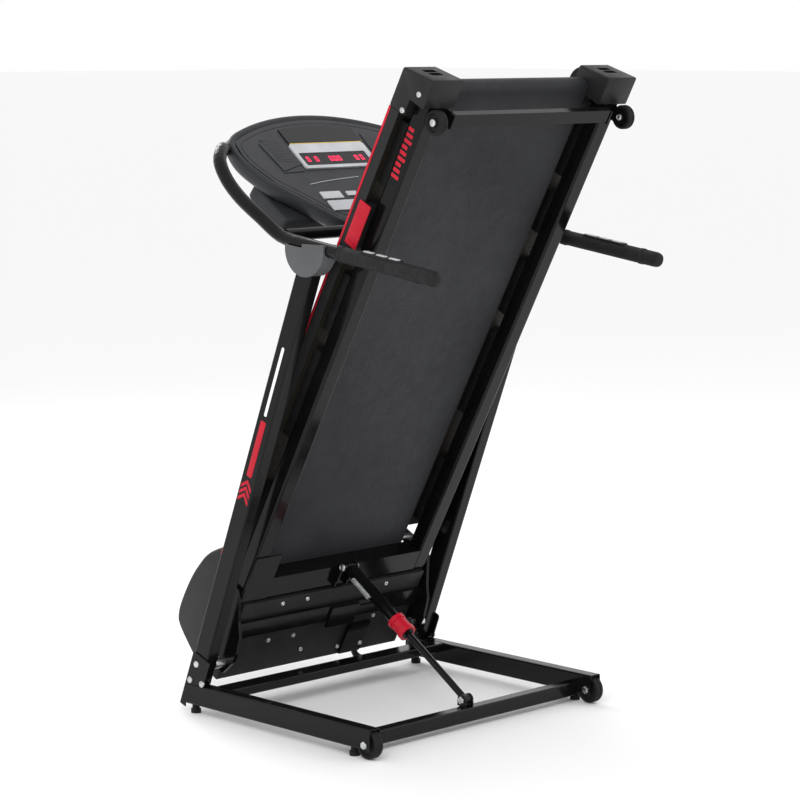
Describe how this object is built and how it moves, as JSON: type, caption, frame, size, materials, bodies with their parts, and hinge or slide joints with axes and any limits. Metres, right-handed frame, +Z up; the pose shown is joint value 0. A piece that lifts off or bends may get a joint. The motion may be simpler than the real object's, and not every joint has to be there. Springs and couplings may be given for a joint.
{
  "type": "folding_treadmill",
  "caption": "Folding treadmill stored upright: black steel frame, raised running deck with lock strut, long handlebars, console with red display, red trim, transport wheels.",
  "frame": {"origin": "Middle of the overall box in plan, on the floor under the rubber feet", "axes": "X across the machine toward its right side, Y forward from the open rear of the base toward the motor hood, Z straight up"},
  "size_m": [0.73, 0.8674, 1.3881],
  "materials": {
    "frame_paint": "glossy black powder coat",
    "zinc": "zinc plated, satin",
    "bare_steel": "ground steel",
    "black_rubber": "matte rubber",
    "black_plastic": "fine grained, matte",
    "gloss_plastic": "smooth and glossy",
    "grey_plastic": "fine grained, matte",
    "silver_trim": "silver painted, smooth",
    "red_trim": "glossy red",
    "belt_rubber": "fine ribbed, matte",
    "board_wood": "pressed fibre board, waxed",
    "circuit": "circuit board lacquer"
  },
  "bodies": {
    "base": {"base_rails": "frame_paint", "crossbars": "frame_paint", "foot_plates": "frame_paint", "rubber_feet": "black_rubber", "uprights": "frame_paint", "top_covers": "grey_plastic", "base_fasteners": "zinc", "handlebars": "frame_paint", "grips": "black_rubber", "console_arms": "frame_paint", "console_crossbar": "frame_paint", "console_shell": "black_plastic", "console_face": "black_plastic", "display_frame": "silver_trim", "display_windows": "gloss_plastic", "console_board": "circuit", "speaker_grilles": "silver_trim", "harness_conduit": "black_plastic", "hinge_pins": "zinc", "strut_foot_bracket": "frame_paint"},
    "deck": {"deck_side_tubes": "frame_paint", "hinge_plates": "frame_paint", "deck_cross_members": "frame_paint", "foot_rails": "black_plastic", "foot_rail_stripes": "red_trim", "deck_cushions": "black_rubber", "red_cushions": "red_trim", "deck_board": "board_wood", "running_belt": "belt_rubber", "roller_axles": "zinc", "end_caps": "black_plastic", "wheel_bar": "frame_paint", "motor_pan": "black_plastic", "motor_hood": "gloss_plastic", "motor_body": "bare_steel", "drive_belt": "belt_rubber", "motor_controller": "circuit", "centre_bracket": "frame_paint", "deck_fasteners": "zinc"},
    "strut_rod": {"strut_rod": "bare_steel"},
    "strut_sleeve": {"strut_tube": "frame_paint", "strut_top_pin": "zinc", "strut_bushing": "black_plastic", "strut_spring": "zinc"},
    "collar": {"lock_collar": "red_trim"},
    "rear_roller": {"rear_roller": "bare_steel"},
    "front_roller": {"front_roller": "bare_steel"},
    "motor_rotor": {"motor_rotor": "bare_steel"},
    "left_transport_wheel": {"left_transport_wheel": "black_rubber"},
    "right_transport_wheel": {"right_transport_wheel": "black_rubber"},
    "left_deck_wheel": {"left_deck_wheel": "black_rubber"},
    "right_deck_wheel": {"right_deck_wheel": "black_rubber"},
    "start_key": {"start_key": "silver_trim"},
    "stop_key": {"stop_key": "red_trim"},
    "mode_key": {"mode_key": "silver_trim"},
    "speed_key": {"speed_key": "silver_trim"},
    "slope_key": {"slope_key": "silver_trim"},
    "safety_key": {"safety_key": "red_trim"},
    "left_grip_key": {"left_grip_key": "black_plastic"},
    "right_grip_key": {"right_grip_key": "black_plastic"}
  },
  "joints": [
    {"name": "deck_fold", "type": "hinge", "parent": "base", "child": "deck", "pos_m": [0, 0.25924, 0.11], "axis": [1, 0, 0], "range_deg": [0, 65.2]},
    {"name": "strut_swing", "type": "hinge", "parent": "base", "child": "strut_rod", "pos_m": [0, -0.18876, 0.0555], "axis": [1, 0, 0], "range_deg": [-22.77, 0]},
    {"name": "strut_slide", "type": "slide", "parent": "strut_rod", "child": "strut_sleeve", "axis": [0, 0.8333, 0.5528], "range_m": [-0.1794, 0]},
    {"name": "collar_slide", "type": "slide", "parent": "strut_sleeve", "child": "collar", "axis": [0, 0.8333, 0.5528], "range_m": [0, 0.012], "stiffness_N_per_m": 600},
    {"name": "rear_roller_spin", "type": "hinge", "parent": "deck", "child": "rear_roller", "pos_m": [0, -0.30849, 1.34149], "axis": [1, 0, 0], "continuous": true},
    {"name": "front_roller_spin", "type": "hinge", "parent": "deck", "child": "front_roller", "pos_m": [0, 0.24109, 0.31654], "axis": [1, 0, 0], "continuous": true},
    {"name": "motor_spin", "type": "hinge", "parent": "deck", "child": "motor_rotor", "pos_m": [0, 0.3412, 0.1637], "axis": [1, 0, 0], "continuous": true},
    {"name": "left_transport_spin", "type": "hinge", "parent": "base", "child": "left_transport_wheel", "pos_m": [-0.335, -0.24476, 0.031], "axis": [1, 0, 0], "continuous": true},
    {"name": "left_deck_wheel_spin", "type": "hinge", "parent": "deck", "child": "left_deck_wheel", "pos_m": [-0.2768, -0.37294, 1.2797], "axis": [1, 0, 0], "continuous": true},
    {"name": "right_transport_spin", "type": "hinge", "parent": "base", "child": "right_transport_wheel", "pos_m": [0.335, -0.24476, 0.031], "axis": [1, 0, 0], "continuous": true},
    {"name": "right_deck_wheel_spin", "type": "hinge", "parent": "deck", "child": "right_deck_wheel", "pos_m": [0.2768, -0.37294, 1.2797], "axis": [1, 0, 0], "continuous": true},
    {"name": "start_key_press", "type": "slide", "parent": "base", "child": "start_key", "axis": [0, -0.6293, 0.7771], "range_m": [-0.0012, 0], "stiffness_N_per_m": 800},
    {"name": "speed_key_press", "type": "slide", "parent": "base", "child": "speed_key", "axis": [0, -0.6293, 0.7771], "range_m": [-0.0012, 0], "stiffness_N_per_m": 800},
    {"name": "mode_key_press", "type": "slide", "parent": "base", "child": "mode_key", "axis": [0, -0.6293, 0.7771], "range_m": [-0.0012, 0], "stiffness_N_per_m": 800},
    {"name": "slope_key_press", "type": "slide", "parent": "base", "child": "slope_key", "axis": [0, -0.6293, 0.7771], "range_m": [-0.0012, 0], "stiffness_N_per_m": 800},
    {"name": "stop_key_press", "type": "slide", "parent": "base", "child": "stop_key", "axis": [0, -0.6293, 0.7771], "range_m": [-0.0012, 0], "stiffness_N_per_m": 800},
    {"name": "safety_key_pull", "type": "slide", "parent": "base", "child": "safety_key", "axis": [0, -0.6293, 0.7771], "range_m": [0, 0.03]},
    {"name": "left_grip_key_press", "type": "slide", "parent": "base", "child": "left_grip_key", "axis": [0, -0.1305, 0.9914], "range_m": [-0.0012, 0], "stiffness_N_per_m": 800},
    {"name": "right_grip_key_press", "type": "slide", "parent": "base", "child": "right_grip_key", "axis": [0, -0.1305, 0.9914], "range_m": [-0.0012, 0], "stiffness_N_per_m": 800}
  ],
  "couplings": [
    {"joint": "strut_swing", "follows": "deck_fold", "ratio": -0.34623},
    {"joint": "strut_slide", "follows": "deck_fold", "m_per_rad": -0.15681},
    {"joint": "front_roller_spin", "follows": "rear_roller_spin", "ratio": 1},
    {"joint": "motor_spin", "follows": "rear_roller_spin", "ratio": 1.8}
  ]
}
